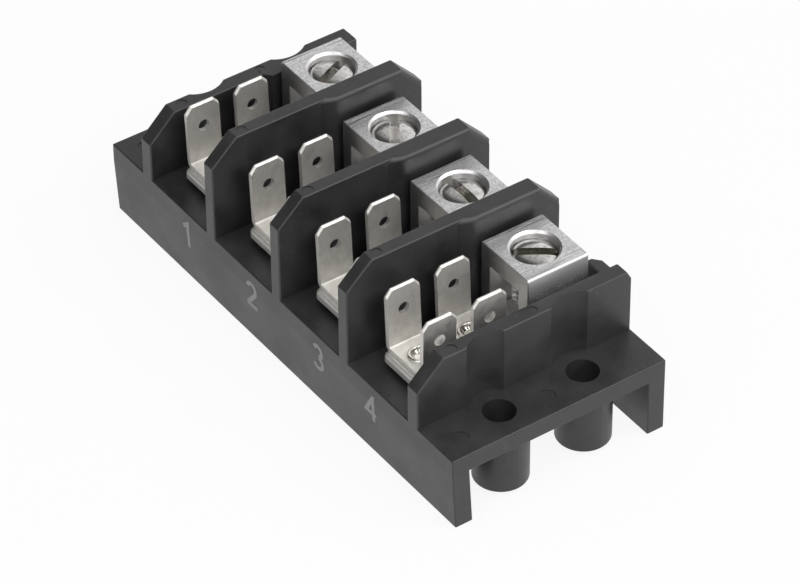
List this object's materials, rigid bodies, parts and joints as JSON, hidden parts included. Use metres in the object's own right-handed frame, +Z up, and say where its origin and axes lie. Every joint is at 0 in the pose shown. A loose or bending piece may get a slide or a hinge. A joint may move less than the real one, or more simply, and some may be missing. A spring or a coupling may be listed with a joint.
{
  "type": "terminal strip",
  "caption": "Barrier terminal strip for panel mounting: in each bay a box lug with a slotted set screw feeds a plated bar with riveted quick-connect tabs.",
  "frame": {"origin": "centre of the footprint, level with the bottom edges of the skirts", "axes": "+X along the row of poles towards pole 4, +Y from the label face to the wire side, +Z up"},
  "size_m": [0.0978, 0.0416, 0.0332],
  "materials": {
    "moulding": "satin",
    "tinned_sheet": "satin tin plate",
    "lug_metal": "sawn and tumbled",
    "screw_metal": "bright plate",
    "rivet_metal": "bright tin plate"
  },
  "bodies": {
    "root": {"housing": "moulding", "bus_strip_1": "tinned_sheet", "lug_1": "lug_metal", "front_tab_1": "tinned_sheet", "rear_tab_1": "tinned_sheet", "front_rivet_1": "rivet_metal", "rear_rivet_1": "rivet_metal", "bus_strip_2": "tinned_sheet", "lug_2": "lug_metal", "front_tab_2": "tinned_sheet", "rear_tab_2": "tinned_sheet", "front_rivet_2": "rivet_metal", "rear_rivet_2": "rivet_metal", "bus_strip_3": "tinned_sheet", "lug_3": "lug_metal", "front_tab_3": "tinned_sheet", "rear_tab_3": "tinned_sheet", "front_rivet_3": "rivet_metal", "rear_rivet_3": "rivet_metal", "bus_strip_4": "tinned_sheet", "lug_4": "lug_metal", "front_tab_4": "tinned_sheet", "rear_tab_4": "tinned_sheet", "front_rivet_4": "rivet_metal", "rear_rivet_4": "rivet_metal"},
    "set_screw_1": {"set_screw_1": "screw_metal"},
    "set_screw_2": {"set_screw_2": "screw_metal"},
    "set_screw_3": {"set_screw_3": "screw_metal"},
    "set_screw_4": {"set_screw_4": "screw_metal"}
  },
  "joints": [
    {"name": "set_screw_1_travel", "type": "slide", "parent": "root", "child": "set_screw_1", "axis": [0, 0, 1], "range_m": [-0.0015, 0.006]},
    {"name": "set_screw_2_travel", "type": "slide", "parent": "root", "child": "set_screw_2", "axis": [0, 0, 1], "range_m": [-0.0015, 0.006]},
    {"name": "set_screw_3_travel", "type": "slide", "parent": "root", "child": "set_screw_3", "axis": [0, 0, 1], "range_m": [-0.0015, 0.006]},
    {"name": "set_screw_4_travel", "type": "slide", "parent": "root", "child": "set_screw_4", "axis": [0, 0, 1], "range_m": [-0.0015, 0.006]}
  ]
}
